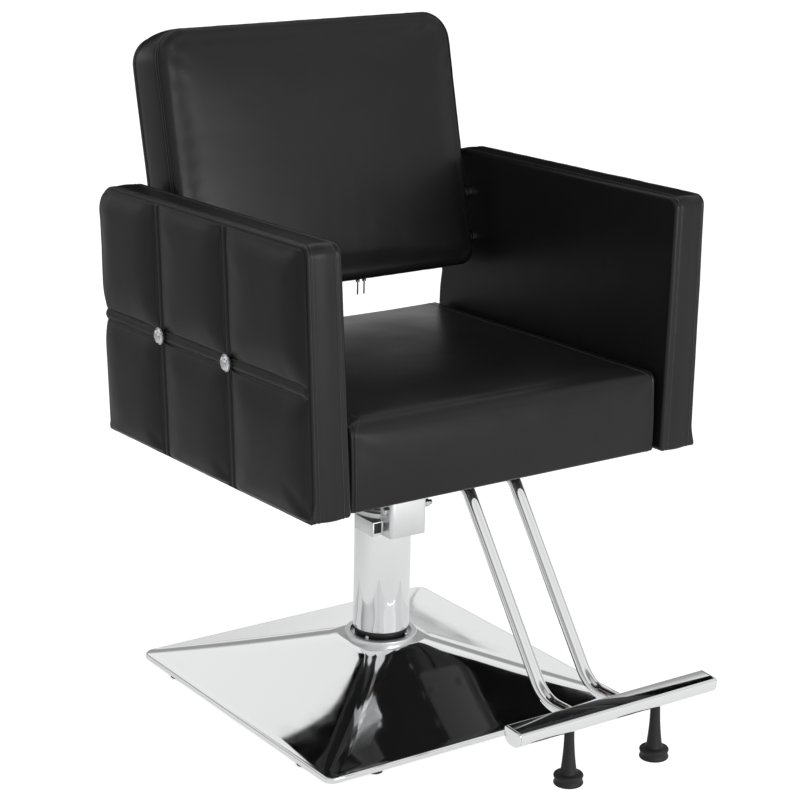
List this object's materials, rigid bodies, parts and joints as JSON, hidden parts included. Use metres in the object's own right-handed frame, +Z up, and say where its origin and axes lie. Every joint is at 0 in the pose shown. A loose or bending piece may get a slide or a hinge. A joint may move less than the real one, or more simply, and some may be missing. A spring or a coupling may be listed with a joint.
{
  "type": "hairdressing chair",
  "caption": "Hairdressing chair with quilted arms and crystal buttons, a lifting and swivelling pump column, a square bright base and a tubular footrest on rubber feet.",
  "frame": {"origin": "on the column's axis, at the floor under the base's glides", "axes": "+Z up along the column, -Y towards the front of the chair, +X towards the chair's right-hand side seen from the front"},
  "size_m": [0.6992, 0.8889, 0.9947],
  "materials": {
    "bright": "polished chrome",
    "satin": "satin",
    "steel": "zinc plated",
    "black_paint": "semi-gloss",
    "black_plastic": "matte",
    "rubber": "matte",
    "plywood": "raw",
    "leather": "soft satin",
    "crystal": "faceted"
  },
  "bodies": {
    "base": {"base_plate": "bright", "base_glides": "rubber", "base_stiffener": "steel", "pump_body": "black_paint", "pump_bolts": "steel", "collar_ring": "bright", "pump_sleeve": "bright", "pump_head": "satin", "head_plug": "black_plastic", "cross_bolt": "steel", "gland_nut": "steel", "pedal_pin": "steel"},
    "pedal": {"pedal_arm": "bright", "pedal_pad": "rubber"},
    "piston": {"piston": "bright"},
    "seat": {"seat_bracket": "black_paint", "bracket_bolts": "steel", "footrest_bracket": "black_paint", "footrest_tube_left": "bright", "footrest_tube_right": "bright", "footrest_bar": "bright", "footrest_caps": "bright", "footrest_foot_left": "rubber", "footrest_foot_right": "rubber", "footrest_screws": "steel", "seat_board": "plywood", "seat_rail_front": "leather", "seat_rail_rear": "leather", "seat_rail_left": "leather", "seat_rail_right": "leather", "seat_cushion": "leather", "arm_body_left": "leather", "arm_body_right": "leather", "arm_pad_left": "leather", "arm_pad_right": "leather", "button_cups_left": "bright", "button_cups_right": "bright", "button_crystals_left": "crystal", "button_crystals_right": "crystal", "arm_plate_left": "black_paint", "arm_plate_right": "black_paint", "arm_screws": "steel", "back_board": "leather", "back_cushion": "leather", "back_spacers_left": "steel", "back_spacers_right": "steel", "zipper": "black_plastic"},
    "zip_pull_left": {"zipper_pull_left": "bright"},
    "zip_pull_right": {"zipper_pull_right": "bright"}
  },
  "joints": [
    {"name": "lift", "type": "slide", "parent": "base", "child": "piston", "axis": [0, 0, 1], "range_m": [-0.055, 0.075]},
    {"name": "swivel", "type": "hinge", "parent": "piston", "child": "seat", "pos_m": [0, 0, 0.36], "axis": [0, 0, 1], "continuous": true},
    {"name": "pedal", "type": "hinge", "parent": "base", "child": "pedal", "pos_m": [0.03556, 0.05079, 0.28], "axis": [-0.8192, 0.5736, 0], "range_deg": [0, 18], "stiffness_Nm_per_rad": 12, "springref_deg": -11.46},
    {"name": "zip_pull_left_swing", "type": "hinge", "parent": "seat", "child": "zip_pull_left", "pos_m": [0.079, 0.1963, 0.58781], "axis": [1, 0, 0], "range_deg": [-60, 60]},
    {"name": "zip_pull_right_swing", "type": "hinge", "parent": "seat", "child": "zip_pull_right", "pos_m": [0.091, 0.1963, 0.58781], "axis": [1, 0, 0], "range_deg": [-60, 60]}
  ]
}
